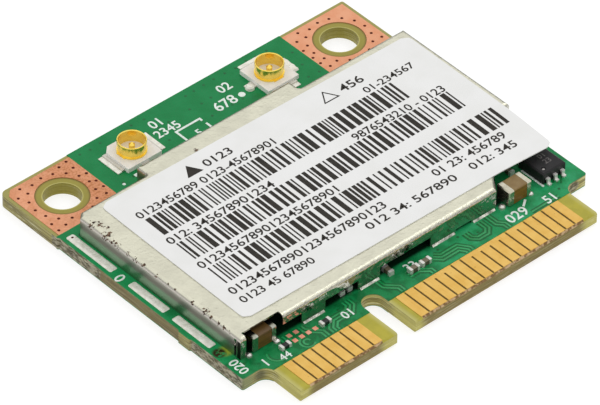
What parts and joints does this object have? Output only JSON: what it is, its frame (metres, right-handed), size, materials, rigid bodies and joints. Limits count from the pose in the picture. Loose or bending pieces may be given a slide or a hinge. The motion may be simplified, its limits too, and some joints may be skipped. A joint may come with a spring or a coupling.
{
  "type": "wifi card",
  "caption": "Half-size plug-in wireless card: a green circuit board with a gold edge connector, a folded metal shield under a paper label, and round antenna sockets.",
  "frame": {"origin": "middle of the board's outline, on the underside of the lower solder mask", "axes": "+X along the contact edge, +Y from the contacts towards the screw holes, +Z out of the component side"},
  "size_m": [0.03, 0.0268, 0.0028],
  "materials": {
    "laminate": "glass fibre laminate, olive yellow, layered at the sawn edges",
    "solder_mask": "green gloss solder mask",
    "gold_plating": "thin gold plating",
    "bare_copper": "bare salmon-pink copper",
    "shield_sheet": "satin tinned sheet",
    "solder": "tin solder, rough",
    "label_paper": "white matt paper with grey-brown bars",
    "socket_plastic": "white moulded plastic",
    "chip_mould": "black moulding compound",
    "tinned_lead": "tinned metal",
    "capacitor_ceramic": "tan to brown fired ceramic",
    "resistor_block": "dark glazed ceramic",
    "crystal_ceramic": "dark grey ceramic",
    "crystal_cover": "pale gold metal cover",
    "coil_ferrite": "dark grey ferrite"
  },
  "bodies": {
    "root": {"circuit_board": "laminate", "solder_mask_top": "solder_mask", "solder_mask_bottom": "solder_mask", "edge_contacts_top": "gold_plating", "edge_contacts_bottom": "gold_plating", "ground_pads_top": "bare_copper", "ground_pads_bottom": "bare_copper", "shield_can": "shield_sheet", "shield_solder_strips": "solder", "shield_foot_solder": "solder", "label": "label_paper", "antenna_ring_left": "gold_plating", "antenna_ring_right": "gold_plating", "antenna_pin_left": "gold_plating", "antenna_pin_right": "gold_plating", "antenna_housing_left": "socket_plastic", "antenna_housing_right": "socket_plastic", "antenna_solder": "solder", "switch_chip": "chip_mould", "switch_leads": "tinned_lead", "bulk_capacitor_left": "capacitor_ceramic", "bulk_capacitor_right": "capacitor_ceramic", "bulk_capacitor_ends_left": "tinned_lead", "bulk_capacitor_ends_right": "tinned_lead", "bulk_capacitor_solder": "solder", "small_resistor_blocks": "resistor_block", "small_resistor_ends": "tinned_lead", "small_capacitor_blocks": "capacitor_ceramic", "small_capacitor_ends": "tinned_lead", "test_pads": "bare_copper", "radio_chip": "chip_mould", "crystal_base": "crystal_ceramic", "crystal_lid": "crystal_cover", "amplifier_front": "chip_mould", "amplifier_back": "chip_mould", "filter_blocks": "capacitor_ceramic", "filter_ends": "tinned_lead", "power_coil": "coil_ferrite", "supply_capacitor_blocks": "capacitor_ceramic", "supply_capacitor_ends": "tinned_lead"}
  },
  "joints": []
}
